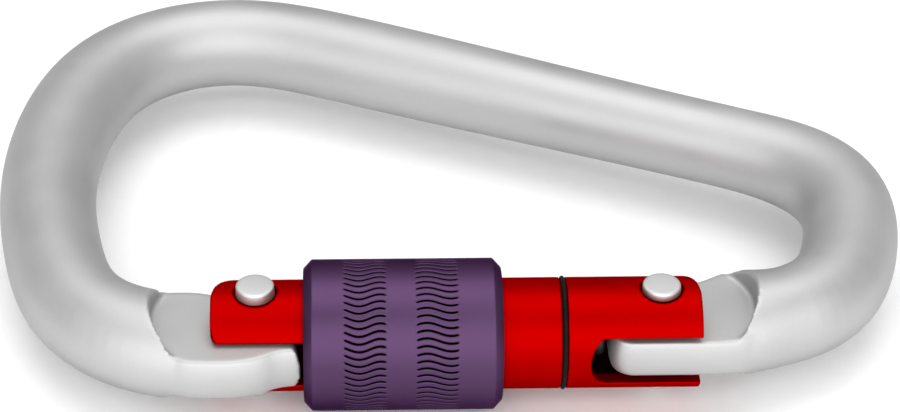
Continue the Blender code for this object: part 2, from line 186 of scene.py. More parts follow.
# Knurl. Each groove has columns of points at these shares of its pitch, closest together where it is cut.
# The grooves of a band start, end and reach the crest and the trough of their wave at these distances from
# the sleeve's left end.
KNURL_COUNT = 62
KNURL_WAVE = 0.335
KNURL_WAVE_FADE = 1.2
KNURL_DEPTH = 0.26
KNURL_DEPTH_FADE = 0.3
KNURL_HALF_WIDTH = 0.19
KNURL_STEP = 0.16
KNURL_COLUMNS = (0.0, 0.18, 0.3, 0.36, 0.43, 0.5, 0.57, 0.64, 0.7, 0.82)
KNURL_BANDS = (
    {"start": 4.75, "end": 9.85, "crest": 9.11, "trough": 6.60},
    {"start": 13.3, "end": 18.4, "crest": 14.57, "trough": 17.48},
)

# How finely the milled shapes are meshed, and how often their edges are smoothed.
BODY_VOXEL = 0.24
GATE_VOXEL = 0.16
BODY_EDGE_PASSES = 9
GATE_EDGE_PASSES = 4


def smooth(t):
    """An eased step: 0 up to t = 0, and 1 from t = 1 on."""
    t = min(1.0, max(0.0, t))
    return t * t * (3 - 2 * t)


# ---------------------------------------------------------------- outlines


def arc(centre, radius, start, end, count):
    """count + 1 points on an arc, both ends included."""
    angles = [start + (end - start) * k / count for k in range(count + 1)]
    return [(centre[0] + radius * math.cos(a), centre[1] + radius * math.sin(a)) for a in angles]


def rounded_corner(before, corner, after, radius, step):
    """The arc of a radius that rounds a corner, as points about step radians apart."""
    corner = Vector(corner)
    back = (Vector(before) - corner).normalized()
    ahead = (Vector(after) - corner).normalized()
    half_angle = back.angle(ahead) / 2
    centre = corner + (back + ahead).normalized() * radius / math.sin(half_angle)
    start = corner + back * radius / math.tan(half_angle) - centre
    turn = math.pi - 2 * half_angle
    if back.x * ahead.y - back.y * ahead.x > 0:
        turn = -turn
    first = math.atan2(start.y, start.x)
    return arc(centre, radius, first, first + turn, max(2, round(abs(turn) / step)))


def rounded_loop(corners, step):
    """A closed outline from ((x, y), radius) corners. A radius of 0 keeps the corner sharp."""
    places = [place for place, _ in corners]
    outline = []
    for k, (place, radius) in enumerate(corners):
        if radius:
            after = places[(k + 1) % len(places)]
            outline += rounded_corner(places[k - 1], place, after, radius, step)
        else:
            outline.append(place)
    return outline


def soft_line(points, per_span):
    """A smooth curve through a few points, as a Catmull-Rom spline."""
    line = [points[0]]
    for k in range(len(points) - 1):
        p0 = Vector(points[max(k - 1, 0)])
        p1 = Vector(points[k])
        p2 = Vector(points[k + 1])
        p3 = Vector(points[min(k + 2, len(points) - 1)])
        for j in range(1, per_span + 1):
            t = j / per_span
            part = 2 * p1 + (p2 - p0) * t
            part += (2 * p0 - 5 * p1 + 4 * p2 - p3) * t**2
            part += (3 * p1 - p0 - 3 * p2 + p3) * t**3
            line.append(tuple(part / 2))
    return line


# ---------------------------------------------------------------- meshes


def bridge(rings, closed):
    """Faces between rings of point numbers. A ring of one point closes the shape to a tip."""
    pairs = list(zip(rings, rings[1:]))
    if closed:
        pairs.append((rings[-1], rings[0]))
    faces = []
    for low, high in pairs:
        count = max(len(low), len(high))
        for k in range(count):
            corners = [
                low[k % len(low)],
                low[(k + 1) % len(low)],
                high[(k + 1) % len(high)],
                high[k % len(high)],
            ]
            faces.append(list(dict.fromkeys(corners)))
    return faces


def add_mesh(name, points, faces):
    """An object from points and faces, with the faces pointing out."""
    mesh = bpy.data.meshes.new(name)
    mesh.from_pydata([tuple(point) for point in points], [], faces)
    work = bmesh.new()
    work.from_mesh(mesh)
    bmesh.ops.recalc_face_normals(work, faces=work.faces)
    work.to_mesh(mesh)
    work.free()
    obj = bpy.data.objects.new(name, mesh)
    bpy.context.scene.collection.objects.link(obj)
    return obj


def turned(name, profile, steps, closed=False):
    """A profile of (x, radius) turned about X. A closed profile is a loop, as a ring's section is."""
    points = []
    rings = []
    for x, radius in profile:
        count = steps if radius > 1e-6 else 1
        rings.append(list(range(len(points), len(points) + count)))
        for k in range(count):
            angle = 2 * math.pi * k / steps
            points.append((x, radius * math.cos(angle), radius * math.sin(angle)))
    return add_mesh(name, points, bridge(rings, closed))


def apply_matrix(obj, matrix):
    """Moves a mesh itself, and leaves its object at the origin."""
    obj.data.transform(matrix)
    return obj


def upright(obj, x=0.0, y=0.0):
    """Turns a piece made along X so that it runs along Z, at x and y."""
    return apply_matrix(obj, Matrix.Translation((x, y, 0)) @ Matrix.Rotation(math.radians(-90), 4, "Y"))


def rod(radius, low, high, steps=96):
    """A solid cylinder along X."""
    return turned("cutter", ((low, 0), (low, radius), (high, radius), (high, 0)), steps)


def prism(outline, half):
    """An outline extruded up and down by half."""
    count = len(outline)
    points = [(x, y, z) for z in (-half, half) for x, y in outline]
    low = list(range(count))
    high = list(range(count, 2 * count))
    return add_mesh("cutter", points, [low, high, *bridge([low, high], False)])


def crowned_plate(outline, half):
    """A prism whose edge is crowned like the round bar."""
    count = len(outline)
    normals = []
    for k in range(count):
        before = Vector(outline[k]) - Vector(outline[k - 1])
        after = Vector(outline[(k + 1) % count]) - Vector(outline[k])
        along = before.normalized() + after.normalized()
        normals.append(Vector((along.y, -along.x)).normalized())
    levels = [half * k / CROWN_LEVELS for k in range(-CROWN_LEVELS, CROWN_LEVELS + 1)]
    points = []
    for z in levels:
        inset = CROWN_RADIUS - math.sqrt(CROWN_RADIUS**2 - z * z)
        for point, normal in zip(outline, normals):
            points.append((point[0] - inset * normal.x, point[1] - inset * normal.y, z))
    rings = [list(range(k * count, (k + 1) * count)) for k in range(len(levels))]
    return add_mesh("plate", points, [rings[0], rings[-1], *bridge(rings, False)])


def join(first, second):
    """One object from two."""
    bpy.ops.object.select_all(action="DESELECT")
    first.select_set(True)
    second.select_set(True)
    bpy.context.view_layer.objects.active = first
    bpy.ops.object.join()
    return first


def apply_modifiers(obj):
    """Makes what an object's modifiers show its own mesh."""
    graph = bpy.context.evaluated_depsgraph_get()
    graph.update()
    made = bpy.data.meshes.new_from_object(obj.evaluated_get(graph))
    obj.modifiers.clear()
    obj.data = made


def change(target, other, operation):
    """Applies one Boolean and removes the other mesh."""
    modifier = target.modifiers.new("change", "BOOLEAN")
    modifier.operation = operation
    modifier.object = other
    modifier.solver = "EXACT"
    apply_modifiers(target)
    bpy.data.objects.remove(other)


def soften(obj, voxel, passes):
    """Remeshes a milled shape finely and breaks its edges, as tumbling does."""
    remesh = obj.modifiers.new("remesh", "REMESH")
    remesh.mode = "VOXEL"
    remesh.voxel_size = voxel
    relax = obj.modifiers.new("relax", "SMOOTH")
    relax.factor = 0.5
    relax.iterations = passes
    apply_modifiers(obj)


def ridge(start, turns, root, crest):
    """A screw thread's ridge: a trapezium swept along a right-hand helix. Its height fades in and out over a
    third of a turn at its ends."""
    points = []
    rings = []
    count = round(turns * THREAD_STEPS)
    for k in range(count + 1):
        angle = 2 * math.pi * k / THREAD_STEPS
        x = start + THREAD_PITCH * k / THREAD_STEPS
        fade = smooth(min(k, count - k) / (THREAD_STEPS / 3))
        top = root + (crest - root) * fade
        section = (
            (x - THREAD_FOOT_HALF, root),
            (x + THREAD_FOOT_HALF, root),
            (x + THREAD_CREST_HALF, top),
            (x - THREAD_CREST_HALF, top),
        )
        rings.append(list(range(len(points), len(points) + len(section))))
        for along, radius in section:
            points.append((along, radius * math.cos(angle), radius * math.sin(angle)))
    return add_mesh("ridge", points, [rings[0], rings[-1], *bridge(rings, False)])


# ---------------------------------------------------------------- body


def bar_radius(fraction):
    """The bar's radius at a share of its length, eased between the given ones."""
    for (start, low), (end, high) in zip(BAR_RADII, BAR_RADII[1:]):
        if fraction <= end:
            return low + (high - low) * smooth((fraction - start) / (end - start))
    return BAR_RADII[-1][1]


def distances(path):
    """How far along a path each of its points is."""
    travelled = [0.0]
    for before, after in zip(path, path[1:]):
        travelled.append(travelled[-1] + math.dist(before, after))
    return travelled


def evenly_spaced(path, step):
    """Points on a path at one spacing of about step, both ends included."""
    travelled = distances(path)
    count = math.ceil(travelled[-1] / step)
    spaced = []
    k = 0
    for j in range(count + 1):
        want = travelled[-1] * j / count
        while k < len(path) - 2 and travelled[k + 1] < want:
            k += 1
        share = (want - travelled[k]) / (travelled[k + 1] - travelled[k])
        spaced.append(tuple(Vector(path[k]).lerp(Vector(path[k + 1]), share)))
    return spaced


def blended(path, passes):
    """The same path with its bends eased into its straights. Its ends stay where they are."""
    points = [Vector(point) for point in path]
    for _ in range(passes):
        middle = [(a + 2 * b + c) / 4 for a, b, c in zip(points, points[1:], points[2:])]
        points = [points[0], *middle, points[-1]]
    return [tuple(point) for point in points]


def bar_path():
    """The middle line of the bar, from the nose to the hinge."""
    places = [BAR_START] + [place for place, _ in BAR_CORNERS] + [BAR_END]
    path = [BAR_START]
    for k, (corner, radius) in enumerate(BAR_CORNERS):
        path += rounded_corner(places[k], corner, places[k + 2], radius, math.radians(3))
    path.append(BAR_END)
    return blended(evenly_spaced(path, BAR_STEP), BAR_BLEND_PASSES)


def bar():
    """The round bar. It widens in its own plane towards each tongue, and is a hair thinner than the CAD
    model's, so that it stays inside that model's box."""
    path = bar_path()
    travelled = distances(path)
    points = []
    rings = []
    for k, place in enumerate(path):
        ahead = Vector(path[min(k + 1, len(path) - 1)]) - Vector(path[max(k - 1, 0)])
        side = Vector((ahead.y, -ahead.x)).normalized()
        fraction = travelled[k] / travelled[-1]
        radius = bar_radius(fraction) - BAR_INSIDE
        swell = NOSE_SWELL[0] * smooth(1 - fraction / NOSE_SWELL[1])
        swell += HINGE_SWELL[0] * smooth(1 - (1 - fraction) / HINGE_SWELL[1])
        rings.append(list(range(len(points), len(points) + BAR_SIDES)))
        for j in range(BAR_SIDES):
            angle = 2 * math.pi * j / BAR_SIDES
            across = (radius + swell) * math.cos(angle)
            x = place[0] + side.x * across
            y = place[1] + side.y * across
            points.append((x, y, radius * math.sin(angle)))
    return add_mesh("bar", points, [rings[0], rings[-1], *bridge(rings, False)])


def nose_outline():
    """The nose tongue from above, counter-clockwise from its root on the outer side."""
    reach = NOSE_TIP_RADIUS
    low_angle = math.pi + math.asin((NOSE_LOCKED_HALF - 0.9) / reach)
    high_angle = math.pi - math.asin((NOSE_INNER - 1.5) / reach)
    pin_gap = LATCH_RIVET[1] + LATCH_CLEARANCE
    right_wall = abs(LATCH_X) - pin_gap
    left_wall = abs(LATCH_X) + pin_gap
    top_right = math.pi - math.asin((NOSE_INNER - 1.3) / right_wall)
    top_left = math.pi - math.asin((NOSE_INNER - 1.3) / left_wall)
    belly = [
        (-61.0, -6.5),
        (-58.5, -8.3),
        (-57.0, NOSE_OUTER + 0.35),
        (-55.0, NOSE_OUTER + 0.05),
        (-52.0, NOSE_OUTER),
        (-50.0, NOSE_OUTER + 0.2),
        (-48.3, NOSE_OUTER + 0.65),
        (-46.9, NOSE_OUTER + 1.3),
        (NOSE_SHOULDER_X, -NOSE_LOCKED_HALF - 0.5),
        (NOSE_SHOULDER_X + 1.2, -NOSE_LOCKED_HALF - 0.1),
        (-reach + 0.6, -NOSE_LOCKED_HALF + 0.15),
    ]
    outline = [(-63.0, 4.0), *soft_line(belly, 2)]
    outline += arc((0, 0), reach, low_angle, high_angle, 24)
    outline += [(-reach - 0.1, NOSE_INNER - 0.7), (-right_wall + 0.7, NOSE_INNER - 0.7)]
    outline += arc((0, 0), right_wall, top_right, math.pi, 8)
    outline += arc((LATCH_X, 0), pin_gap, 0, -math.pi, 20)[1:-1]
    outline += arc((0, 0), left_wall, math.pi, top_left, 8)
    outline.append((-left_wall - 0.6, NOSE_INNER - 0.7))
    root = [(-53.7, NOSE_INNER - 0.6), (-55.6, NOSE_INNER - 0.1), (-58.0, NOSE_INNER)]
    outline += soft_line([*root, (-60.5, NOSE_INNER - 0.1)], 2)
    return outline


def hinge_outline():
    """The hinge tongue from above, counter-clockwise, with its involute end."""
    outer = -6.05
    outline = soft_line([(15.0, -2.5), (12.8, -4.0), (10.8, -5.2), (9.0, -5.8), (6.0, outer)], 3)
    outline += rounded_corner((6.0, outer), (-CAM_REACH, outer), (-CAM_REACH, 0.0), 3.0, 0.1)
    steps = 24
    for k in range(steps + 1):
        turn = CAM_END * k / steps
        reach = CAM_REACH + CAM_RISE * turn
        x = -reach * math.cos(turn) + CAM_RISE * math.sin(turn)
        y = reach * math.sin(turn) + CAM_RISE * math.cos(turn)
        outline.append((x, y))
    inner = [(-3.6, 6.0), (-1.5, 6.3), (2.0, 6.4), (4.5, 6.9), (6.5, 7.9), (8.2, 8.9)]
    outline += [*soft_line(inner, 2), (10.5, 8.6), (13.0, 7.6), (15.0, 6.0)]
    return outline[::-1]


def marking_cutter():
    """The block that leaves a flat under the spine."""
    length, level, place_along = MARKING_FLAT
    start = Vector(BAR_CORNERS[2][0])
    along = Vector(BAR_CORNERS[3][0]) - start
    half_length = length / 2
    half_width = 5.0
    half_height = 2.0
    outline = [
        (-half_length, -half_width),
        (half_length, -half_width),
        (half_length, half_width),
        (-half_length, half_width),
    ]
    cutter = prism(outline, half_height)
    middle = start + along * place_along
    place = Matrix.Translation((middle.x, middle.y, level - half_height))
    return apply_matrix(cutter, place @ Matrix.Rotation(math.atan2(along.y, along.x), 4, "Z"))


def make_body():
    """The forged bar with its two tongues, milled flat on both sides, and the hinge pin's hole."""
    body = bar()
    tongues = (
        (nose_outline(), NOSE_TONGUE_HALF, NOSE_MILL),
        (hinge_outline(), HINGE_TONGUE_HALF, HINGE_MILL),
    )
    for outline, half, _ in tongues:
        change(body, crowned_plate(outline, half + TONGUE_EXTRA), "UNION")
    for _, half, (centre, radius) in tongues:
        for side in (-1, 1):
            low, high = sorted((side * half, side * FAR))
            change(body, upright(rod(radius, low, high, steps=256), *centre), "DIFFERENCE")
    change(body, upright(rod(HINGE_RIVET[1] + HINGE_CLEARANCE, -FAR, FAR)), "DIFFERENCE")
    change(body, marking_cutter(), "DIFFERENCE")
    soften(body, BODY_VOXEL, BODY_EDGE_PASSES)
    return body


# ---------------------------------------------------------------- gate and what is in it


def slot_cutter(slot, mouth):
    """A slot along Y with a rounded end, open at its mouth."""
    apex, depth, half = slot
    way = 1 if mouth > apex else -1
    outline = [(mouth, half), (mouth, -half)]
    count = 32
    for k in range(count + 1):
        angle = math.pi * k / count
        outline.append((apex + way * depth * (1 - math.sin(angle)), -half * math.cos(angle)))
    return apply_matrix(prism(outline, WELL_CLEAR), Matrix.Rotation(math.radians(90), 4, "X"))


def rivet_cutter(x, hole):
    """A rivet's hole through the gate, with a seat for each of its heads."""
    radius, seat = SEAT
    half = [(seat, hole), (seat, radius), (FAR, radius), (FAR, 0)]
    profile = [(-height, wide) for height, wide in reversed(half)] + half
    return upright(turned("cutter", profile, steps=64), x)


def ears_outline():
    """The gate from above: its four corners are rounded by ellipses, in steps of 3 degrees."""
    left, right, wide = GATE_NOSE_END, GATE_HINGE_END, GATE_RADIUS
    places = ((left, -wide), (right, -wide), (right, wide), (left, wide))
    outline = []
    for k, (corner, (along, across)) in enumerate(zip(places, EAR_CORNERS)):
        centre_x = corner[0] - math.copysign(along, corner[0])
        centre_y = corner[1] - math.copysign(across, corner[1])
        for j in range(31):
            angle = math.radians(180 + 90 * k + 3 * j)
            outline.append((centre_x + along * math.cos(angle), centre_y + across * math.sin(angle)))
    return outline


def make_gate():
    """The gate: a turned bar with its ring groove, thread, slots, bore and rivet holes."""
    half, bottom = GROOVE
    groove = (
        (RING[0] - half, GATE_RADIUS),
        (RING[0] - half, bottom),
        (RING[0] + half, bottom),
        (RING[0] + half, GATE_RADIUS),
    )
    left, right = GATE_NOSE_END, GATE_HINGE_END
    profile = ((left, 0), (left, GATE_RADIUS), *groove, (right, GATE_RADIUS), (right, 0))
    gate = turned("gate", profile, steps=192)
    change(gate, prism(ears_outline(), WELL_CLEAR), "INTERSECT")
    thread_root = GATE_RADIUS - 0.3
    change(gate, ridge(THREAD_START, THREAD_TURNS, thread_root, THREAD_CREST), "UNION")
    change(gate, slot_cutter(NOSE_SLOT, mouth=-60.0), "DIFFERENCE")
    change(gate, slot_cutter(HINGE_SLOT, mouth=9.0), "DIFFERENCE")
    change(gate, rod(*BORE), "DIFFERENCE")
    change(gate, rivet_cutter(LATCH_X, LATCH_HOLE), "DIFFERENCE")
    change(gate, rivet_cutter(0.0, HINGE_HOLE), "DIFFERENCE")
    soften(gate, GATE_VOXEL, GATE_EDGE_PASSES)
    return gate


def make_rivet(rivet):
    """A riveted pin: a straight shank and two nearly flat heads, with a rolled rim and a chamfer below."""
    x, shank, top = rivet
    chamfer = 0.12
    rim = 0.28
    rim_below_top = 0.04
    steps = 8
    half = [(RIVET_SEAT, shank), (RIVET_SEAT, RIVET_HEAD - chamfer), (RIVET_SEAT + chamfer, RIVET_HEAD)]
    for k in range(steps + 1):
        angle = math.radians(72) * k / steps
        radius = RIVET_HEAD - rim + rim * math.cos(angle)
        half.append((top - rim_below_top - rim + rim * math.sin(angle), radius))
    edge_height, edge_radius = half[-1]
    for k in range(1, steps + 1):
        radius = edge_radius * (1 - k / steps)
        height = edge_height + (top - edge_height) * (1 - (radius / edge_radius) ** 2)
        half.append((height, radius))
    profile = [(-height, radius) for height, radius in reversed(half)] + half
    return upright(turned("rivet", profile, steps=96), x)


def make_plunger():
    """The plunger, with rounded ends and a shallow groove round it. Each corner has its own rounding."""
    back, face, radius = PLUNGER
    groove_start, length, slope, depth = PLUNGER_GROOVE
    groove = back + groove_start
    corners = [
        ((back, 0.0), 0),
        ((back, radius), 0.45),
        ((groove, radius), 0),
        ((groove + slope, radius - depth), 0),
        ((groove + length - slope, radius - depth), 0),
        ((groove + length, radius), 0),
        ((face, radius), 0.5),
        ((face, 0.0), 0),
    ]
    return turned("plunger", rounded_loop(corners, 0.25), steps=96)


def make_spring():
    """The gate spring: open coils between closed end coils, with half a turn of easing between them."""
    start, end, radius, wire = SPRING
    turns = SPRING_TURNS
    closed = SPRING_CLOSED_TURNS
    easing = 0.5
    steps = 48
    sides = 16
    closed_pitch = 2.1 * wire
    open_pitch = (end - start - 2 * closed * closed_pitch) / (turns - 2 * closed)
    points = []
    rings = []
    x = start
    for k in range(turns * steps + 1):
        turn = k / steps
        open_share = smooth((turn - closed + easing) / easing)
        open_share *= smooth((turns - closed + easing - turn) / easing)
        angle = 2 * math.pi * turn
        centre = Vector((x, radius * math.cos(angle), radius * math.sin(angle)))
        outward = Vector((0, math.cos(angle), math.sin(angle)))
        rings.append(list(range(len(points), len(points) + sides)))
        for j in range(sides):
            around = 2 * math.pi * j / sides
            points.append(centre + wire * (outward * math.cos(around) + Vector((math.sin(around), 0, 0))))
        x += (closed_pitch + (open_pitch - closed_pitch) * open_share) / steps
    spring = add_mesh("spring", points, [rings[0], rings[-1], *bridge(rings, False)])
    length = x - start
    stretch = Matrix.Scale((end - start) / length, 4, (1, 0, 0))
    place = Matrix.Translation((start, 0, 0))
    return apply_matrix(spring, place @ stretch @ Matrix.Translation((-start, 0, 0)))


def make_ring():
    """The stop ring, with a round section."""
    x, radius, wire = RING
    section = arc((x, radius), wire, 0, 2 * math.pi, 24)[:-1]
    return turned("ring", section, steps=160, closed=True)


# ---------------------------------------------------------------- sleeve


def knurl_shift(s):
    """How far a groove has moved round the sleeve at the distance s from its left end, in millimetres."""
    shift = 0.0
    for band in KNURL_BANDS:
        half_wave = band["crest"] - band["trough"]
        wave = -KNURL_WAVE * math.cos(math.pi * (s - band["trough"]) / half_wave)
        nearness = smooth((s - band["start"] + KNURL_WAVE_FADE) / KNURL_WAVE_FADE)
        nearness *= smooth((band["end"] + KNURL_WAVE_FADE - s) / KNURL_WAVE_FADE)
        shift += wave * nearness
    return shift


def knurl_depth(s):
    """The share of its full depth that a groove has at the distance s from the sleeve's left end."""
    deepest = 0.0
    for band in KNURL_BANDS:
        share = smooth((s - band["start"]) / KNURL_DEPTH_FADE)
        share *= smooth((band["end"] - s) / KNURL_DEPTH_FADE)
        deepest = max(deepest, share)
    return deepest


def on_outer_face(radius):
    """Whether a point of the sleeve's profile is on its outer face."""
    return radius > SLEEVE_RADIUS - 0.01


def sleeve_profile():
    """(x, radius) round the sleeve's wall, with extra points on its outer face, where it is knurled. Each
    corner has its own rounding."""
    left = SLEEVE_LEFT
    right = left + SLEEVE_LENGTH
    length, depth = SLEEVE_CHAMFER
    face = SLEEVE_RADIUS - depth
    lip, lip_radius = SLEEVE_LIP
    corners = [
        ((right, face), 0.1),
        ((right, lip_radius), 0.12),
        ((right - lip, lip_radius), 0.08),
        ((right - lip, SLEEVE_BORE), 0.08),
        ((left, SLEEVE_BORE), 0.08),
        ((left, face), 0.08),
        ((left + length, SLEEVE_RADIUS), 0.25),
        ((right - length, SLEEVE_RADIUS), 0.25),
    ]
    outline = rounded_loop(corners, 0.35)
    profile = []
    for k, (x, radius) in enumerate(outline):
        profile.append((x, radius))
        after = outline[(k + 1) % len(outline)]
        if on_outer_face(min(radius, after[1])) and after[0] - x > length:
            count = math.ceil((after[0] - x) / KNURL_STEP)
            profile += [(x + (after[0] - x) * j / count, SLEEVE_RADIUS) for j in range(1, count)]
    return profile


def make_sleeve():
    """The sleeve. Its columns of points follow the wavy grooves, so the grooves are cut in the mesh. The
    attribute "cut" says how deep each point is in a groove, from 0 to 1."""
    pitch = 2 * math.pi * SLEEVE_RADIUS / KNURL_COUNT
    columns = KNURL_COUNT * len(KNURL_COLUMNS)
    profile = sleeve_profile()
    points = []
    rings = []
    cut_depths = []
    for x, radius in profile:
        s = x - SLEEVE_LEFT
        depth = knurl_depth(s) if on_outer_face(radius) else 0.0
        shift = knurl_shift(s)
        rings.append(list(range(len(points), len(points) + columns)))
        for groove in range(KNURL_COUNT):
            for place in KNURL_COLUMNS:
                across = (place - 0.5) * pitch / KNURL_HALF_WIDTH
                share = depth * (0.5 + 0.5 * math.cos(math.pi * across)) if abs(across) < 1 else 0.0
                angle = ((groove + place) * pitch - shift) / SLEEVE_RADIUS
                reach = radius - KNURL_DEPTH * share
                points.append((x, reach * math.cos(angle), reach * math.sin(angle)))
                cut_depths.append(share)
    sleeve = add_mesh("sleeve", points, bridge(rings, True))
    cut = sleeve.data.attributes.new("cut", "FLOAT", "POINT")
    cut.data.foreach_set("value", cut_depths)
    thread_start = THREAD_START + THREAD_PITCH / 2
    thread_root = SLEEVE_BORE + 0.2
    thread = ridge(thread_start, SLEEVE_THREAD_TURNS, thread_root, SLEEVE_LIP[1])
    return join(sleeve, thread)


# ---------------------------------------------------------------- materials


class Nodes:
    """Short calls for building one material's node tree."""

    def __init__(self, name):
        self.material = bpy.data.materials.new(name)
        self.material.use_nodes = True
        self.tree = self.material.node_tree
        self.shader = self.tree.nodes["Principled BSDF"]
        self.where = self.add("ShaderNodeTexCoord").outputs["Object"]

    def add(self, kind, **settings):
        node = self.tree.nodes.new(kind)
        for key, value in settings.items():
            setattr(node, key, value)
        return node

    def link(self, source, target):
        self.tree.links.new(source, target)

    def put(self, socket, value):
        """Links a socket to another one, or sets its value."""
        if isinstance(value, bpy.types.NodeSocket):
            self.link(value, socket)
        else:
            socket.default_value = value

    def noise(self, scale, detail=3.0, roughness=0.5, stretch=None):
        """A noise in the object's own metres, stretched by a scale for each axis if one is given."""
        node = self.add("ShaderNodeTexNoise")
        node.inputs["Scale"].default_value = scale
        node.inputs["Detail"].default_value = detail
        node.inputs["Roughness"].default_value = roughness
        where = self.where
        if stretch:
            mapping = self.add("ShaderNodeMapping")
            mapping.inputs["Scale"].default_value = stretch
            self.link(where, mapping.inputs["Vector"])
            where = mapping.outputs["Vector"]
        self.link(where, node.inputs["Vector"])
        return node.outputs["Fac"]

    def spread(self, value, low, high, out_low, out_high):
        """A value from low to high, brought to the range from out_low to out_high."""
        node = self.add("ShaderNodeMapRange")
        self.put(node.inputs["Value"], value)
        node.inputs["From Min"].default_value = low
        node.inputs["From Max"].default_value = high
        node.inputs["To Min"].default_value = out_low
        node.inputs["To Max"].default_value = out_high
        return node.outputs["Result"]

    def math(self, operation, first, second):
        node = self.add("ShaderNodeMath", operation=operation)
        self.put(node.inputs[0], first)
        self.put(node.inputs[1], second)
        return node.outputs["Value"]

    def mix(self, share, first, second):
        """Mixes two colours. The Mix node's colour sockets are inputs 6 and 7 and output 2."""
        node = self.add("ShaderNodeMix", data_type="RGBA")
        self.put(node.inputs[0], share)
        self.put(node.inputs[6], first)
        self.put(node.inputs[7], second)
        return node.outputs[2]

    def scratches(self, scale, stretch):
        """Thin lines where a stretched noise crosses its middle value: 1 on a line and 0 beside it."""
        fine = self.noise(scale, detail=2.0, roughness=0.4, stretch=stretch)
        distance = self.math("ABSOLUTE", self.math("SUBTRACT", fine, 0.5), 0.0)
        half_width = 0.012
        return self.spread(distance, 0.0, half_width, 1.0, 0.0)

    def bump(self, height, distance, strength, below=None):
        node = self.add("ShaderNodeBump")
        node.inputs["Strength"].default_value = strength
        node.inputs["Distance"].default_value = distance
        self.put(node.inputs["Height"], height)
        if below:
            self.link(below, node.inputs["Normal"])
        return node.outputs["Normal"]


def metal(name, colour, shade, roughness, grain, metallic, edge_tint):
    """A metal whose colour, roughness and surface vary as a real finish does. shade is the darker colour,
    roughness the lowest and highest value, and grain the size of the fine grain in millimetres."""
    nodes = Nodes(name)
    cloud = nodes.noise(90.0, detail=4.0, roughness=0.55)
    fine = nodes.noise(1 / (grain * MM), detail=3.0, roughness=0.6)
    marks = nodes.math("MAXIMUM", nodes.scratches(130.0, (1, 6, 2)), nodes.scratches(170.0, (5, 1, 3)))
    marks = nodes.math("MULTIPLY", marks, nodes.spread(nodes.noise(60.0), 0.5, 0.62, 0.0, 1.0))
    tone = nodes.math("ADD", nodes.math("MULTIPLY", cloud, 0.7), nodes.math("MULTIPLY", fine, 0.3))
    base = nodes.mix(nodes.spread(tone, 0.35, 0.65, 0.0, 1.0), (*shade, 1), (*colour, 1))
    nodes.link(base, nodes.shader.inputs["Base Color"])
    rough = nodes.spread(nodes.math("ADD", cloud, nodes.math("MULTIPLY", marks, -0.08)), 0.3, 0.7, *roughness)
    nodes.link(rough, nodes.shader.inputs["Roughness"])
    nodes.shader.inputs["Metallic"].default_value = metallic
    nodes.shader.inputs["Specular Tint"].default_value = (*edge_tint, 1)
    grained = nodes.bump(fine, 0.02 * MM, 0.35)
    nodes.link(nodes.bump(marks, 0.01 * MM, -0.25, grained), nodes.shader.inputs["Normal"])
    return nodes


def paint_groove_shade(nodes, groove_shade_colour):
    """Paints shade into the bottoms of the cut grooves by darkening their colour towards near black."""
    cut = nodes.add("ShaderNodeAttribute", attribute_name="cut").outputs["Fac"]
    share = nodes.spread(cut, 0.06, 0.4, 0.0, 1.0)
    before = nodes.shader.inputs["Base Color"].links[0].from_socket
    nodes.link(nodes.mix(share, before, (*groove_shade_colour, 1)), nodes.shader.inputs["Base Color"])


def paint_inside_shade(nodes, radius, flatness, left, right, inside_shade_colour):
    """Paints shade into what lies deep in the gate, the ends of the slots and the bore, by darkening their
    colour.
    The painted shade covers an oval round the gate's axis, with this radius and flattened upwards, from left
    to right."""
    from_axis = nodes.add("ShaderNodeVectorMath", operation="MULTIPLY_ADD")
    nodes.link(nodes.where, from_axis.inputs[0])
    from_axis.inputs[1].default_value = (0.0, 1.0, flatness)
    from_axis.inputs[2].default_value = (0.0, -HINGE.y, -flatness * HINGE.z)
    length = nodes.add("ShaderNodeVectorMath", operation="LENGTH")
    nodes.link(from_axis.outputs["Vector"], length.inputs[0])
    edge = radius * MM
    edge_fade = 0.25 * MM
    share = nodes.spread(length.outputs["Value"], edge - edge_fade, edge, 1.0, 0.0)
    place = nodes.add("ShaderNodeSeparateXYZ")
    nodes.link(nodes.where, place.inputs[0])
    end_fade = 1.0 * MM
    for end, way in ((HINGE.x + left * MM, 1), (HINGE.x + right * MM, -1)):
        beyond = nodes.spread(place.outputs["X"], end, end + way * end_fade, 0.0, 1.0)
        share = nodes.math("MULTIPLY", share, beyond)
    before = nodes.shader.inputs["Base Color"].links[0].from_socket
    nodes.link(nodes.mix(share, before, (*inside_shade_colour, 1)), nodes.shader.inputs["Base Color"])


def moulded(name, colour, shade, roughness, grain):
    """A moulded plastic or rubber with a fine grain. The arguments are as for a metal."""
    nodes = Nodes(name)
    cloud = nodes.noise(250.0)
    fine = nodes.noise(1 / (grain * MM), detail=2.0)
    base = nodes.mix(nodes.spread(cloud, 0.35, 0.65, 0.0, 1.0), (*shade, 1), (*colour, 1))
    nodes.link(base, nodes.shader.inputs["Base Color"])
    nodes.link(nodes.spread(fine, 0.3, 0.7, *roughness), nodes.shader.inputs["Roughness"])
    nodes.link(nodes.bump(fine, 0.03 * MM, 0.4), nodes.shader.inputs["Normal"])
    return nodes


# ---------------------------------------------------------------- putting it together


def finish_piece(obj, name, body, material):
    """Brings a piece into the CAD model's frame, in metres, in place of the CAD node of the same name."""
    obj.data.transform(Matrix.Translation(HINGE) @ Matrix.Scale(MM, 4))
    obj.data.shade_smooth()
    obj.name = name + "_look"
    obj.data.materials.clear()
    obj.data.materials.append(material.material)
    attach(obj, body)
    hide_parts(name)
    return obj


def area_light(name, place, target, size, power):
    """A soft light of a size in metres, pointed at a target."""
    light = bpy.data.lights.new(name, "AREA")
    light.shape = "RECTANGLE"
    light.size, light.size_y = size
    light.energy = power
    obj = bpy.data.objects.new(name, light)
    obj.location = place
    obj.rotation_euler = (Vector(target) - Vector(place)).to_track_quat("-Z", "Y").to_euler()
    bpy.context.scene.collection.objects.link(obj)


